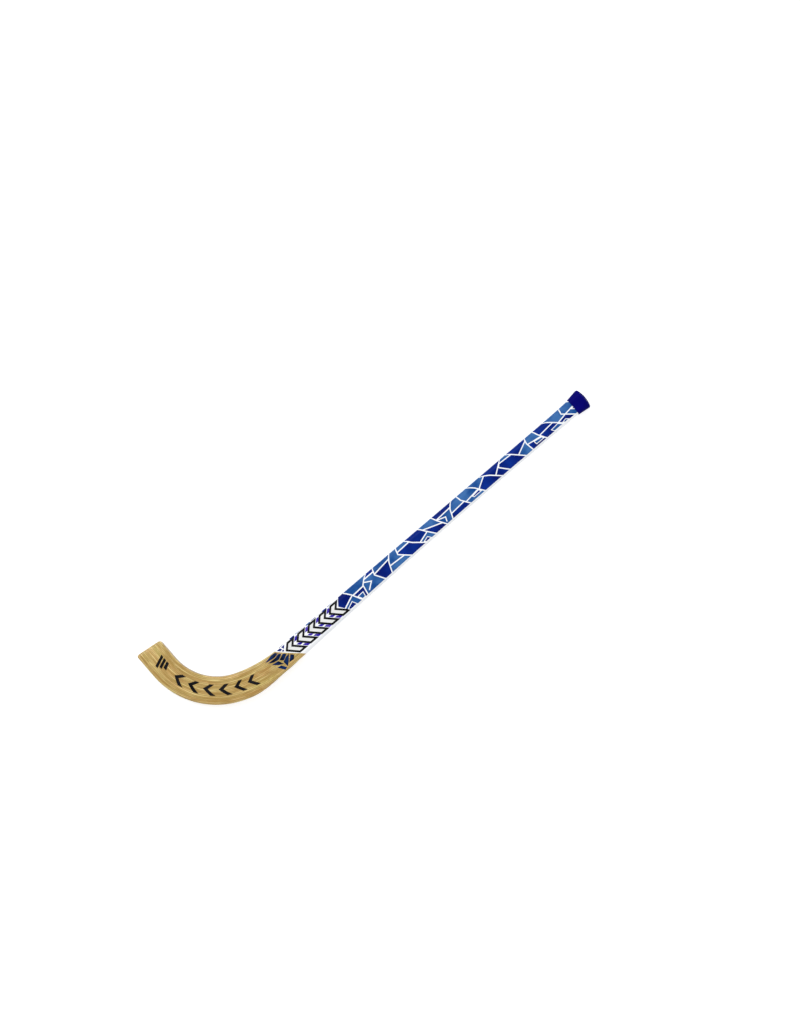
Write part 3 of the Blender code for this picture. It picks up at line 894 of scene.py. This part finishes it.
def navy_rubber():
    """Matt navy rubber with a fine moulded grain and a little polish where hands rub it."""
    made = bpy.data.materials.new("navy_rubber")
    made.use_nodes = True
    nodes, links = made.node_tree.nodes, made.node_tree.links
    shader = nodes["Principled BSDF"]
    shader.inputs["Specular IOR Level"].default_value = 0.025
    spot = nodes.new("ShaderNodeTexCoord")
    mottle = nodes.new("ShaderNodeTexNoise")
    mottle.inputs["Scale"].default_value = 130.0
    mottle.inputs["Detail"].default_value = 3.0
    ramp = nodes.new("ShaderNodeValToRGB")
    ramp.color_ramp.elements[0].position, ramp.color_ramp.elements[1].position = 0.35, 0.65
    ramp.color_ramp.elements[0].color = (0.0008, 0.0005, 0.105, 1.0)
    ramp.color_ramp.elements[1].color = (0.0020, 0.0010, 0.150, 1.0)
    rub = nodes.new("ShaderNodeMapRange")
    rub.inputs["To Min"].default_value = 0.42
    rub.inputs["To Max"].default_value = 0.60
    grain = nodes.new("ShaderNodeTexVoronoi")
    grain.inputs["Scale"].default_value = 2200.0
    bump = nodes.new("ShaderNodeBump")
    bump.inputs["Strength"].default_value = 0.3
    bump.inputs["Distance"].default_value = 0.00006
    links.new(spot.outputs["Object"], mottle.inputs["Vector"])
    links.new(spot.outputs["Object"], grain.inputs["Vector"])
    links.new(mottle.outputs["Fac"], ramp.inputs["Fac"])
    links.new(mottle.outputs["Fac"], rub.inputs["Value"])
    links.new(ramp.outputs["Color"], shader.inputs["Base Color"])
    links.new(rub.outputs["Result"], shader.inputs["Roughness"])
    links.new(grain.outputs["Distance"], bump.inputs["Height"])
    links.new(bump.outputs["Normal"], shader.inputs["Normal"])
    return made


cup = cap_cup()
rings = wrapped(cup)[:-1]
round_ends = (rings[0, :-1].tolist(), rings[-1, -2::-1].tolist())
cap = add_piece("cap_moulded", cup, grid_quads(rings, flip=True), navy_rubber(), ends=round_ends)
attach(cap, "root")
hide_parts("butt_cap")

# Floor, light and camera
# The stick lies flat on a pale floor under soft studio lamps, and the camera looks straight down on
# it. The floor shows white to the camera, as the backdrop does, and still takes the stick's shadow.

FLOOR_SIZE = 30.0
FLOOR_DROP = 0.0002
CAMERA_HEIGHT = 3.0
FRAME_HEIGHT = 1.2165
SENSOR = 36.0
CAMERA_TURN = math.radians(-40.42)
CAMERA_SPOT = (0.04219, -0.01199)


def seen_rays(nodes, links):
    """1 for camera, glossy and transmission rays, and 0 for the others."""
    path = nodes.new("ShaderNodeLightPath")
    seen = path.outputs["Is Camera Ray"]
    for kind in ("Is Glossy Ray", "Is Transmission Ray"):
        either = nodes.new("ShaderNodeMath")
        either.operation = "MAXIMUM"
        links.new(seen, either.inputs[0])
        links.new(path.outputs[kind], either.inputs[1])
        seen = either.outputs["Value"]
    return seen


def pale_floor():
    """A matt pale floor that glows a little for rays that are seen or mirrored."""
    made = bpy.data.materials.new("pale_floor")
    made.use_nodes = True
    nodes, links = made.node_tree.nodes, made.node_tree.links
    nodes.clear()
    matt = nodes.new("ShaderNodeBsdfDiffuse")
    matt.inputs["Color"].default_value = (0.80, 0.80, 0.80, 1.0)
    glow = nodes.new("ShaderNodeEmission")
    glow.inputs["Strength"].default_value = 0.50
    both = nodes.new("ShaderNodeAddShader")
    choice = nodes.new("ShaderNodeMixShader")
    out = nodes.new("ShaderNodeOutputMaterial")
    links.new(seen_rays(nodes, links), choice.inputs["Fac"])
    links.new(matt.outputs["BSDF"], both.inputs[0])
    links.new(glow.outputs["Emission"], both.inputs[1])
    links.new(matt.outputs["BSDF"], choice.inputs[1])
    links.new(both.outputs["Shader"], choice.inputs[2])
    links.new(choice.outputs["Shader"], out.inputs["Surface"])
    return made


far = 0.5 * FLOOR_SIZE
corners = np.array([[-far, -far, -FLOOR_DROP], [far, -far, -FLOOR_DROP],
                    [-far, far, -FLOOR_DROP], [far, far, -FLOOR_DROP]])
floor = add_piece("floor", corners, grid_quads(np.arange(4).reshape(2, 2)), pale_floor())


def studio_lamp(name, place_at, size, power):
    """A square soft lamp that looks at the middle of the stick, which is the origin."""
    data = bpy.data.lights.new(name, "AREA")
    data.shape = "SQUARE"
    data.size = size
    data.energy = power
    lamp = bpy.data.objects.new(name, data)
    lamp.location = place_at
    x, y, z = place_at
    lamp.rotation_euler = (math.acos(z / math.hypot(x, y, z)), 0.0, math.atan2(-y, -x) - 0.5 * math.pi)
    bpy.context.scene.collection.objects.link(lamp)


studio_lamp("key_lamp", (-0.3, 2.2, 2.4), 1.8, 62.0)
studio_lamp("fill_lamp", (1.4, -2.0, 2.2), 2.2, 34.0)

world = bpy.data.worlds.new("studio")
bpy.context.scene.world = world
world.use_nodes = True
air, air_links = world.node_tree.nodes, world.node_tree.links
air["Background"].inputs["Color"].default_value = (1.0, 1.0, 1.0, 1.0)
air["Background"].inputs["Strength"].default_value = 0.57
backdrop = air.new("ShaderNodeBackground")
backdrop.inputs["Color"].default_value = (1.0, 1.0, 1.0, 1.0)
backdrop.inputs["Strength"].default_value = 0.96
choice = air.new("ShaderNodeMixShader")
air_links.new(seen_rays(air, air_links), choice.inputs["Fac"])
air_links.new(air["Background"].outputs["Background"], choice.inputs[1])
air_links.new(backdrop.outputs["Background"], choice.inputs[2])
air_links.new(choice.outputs["Shader"], air["World Output"].inputs["Surface"])

bpy.context.scene.view_settings.view_transform = "Standard"

camera_data = bpy.data.cameras.new("camera")
camera_data.sensor_width = SENSOR
camera_data.lens = SENSOR * CAMERA_HEIGHT / FRAME_HEIGHT
camera = bpy.data.objects.new("camera", camera_data)
camera.location = (*CAMERA_SPOT, zero[2] + CAMERA_HEIGHT)
camera.rotation_euler = (0.0, 0.0, CAMERA_TURN)
bpy.context.scene.collection.objects.link(camera)
bpy.context.scene.camera = camera
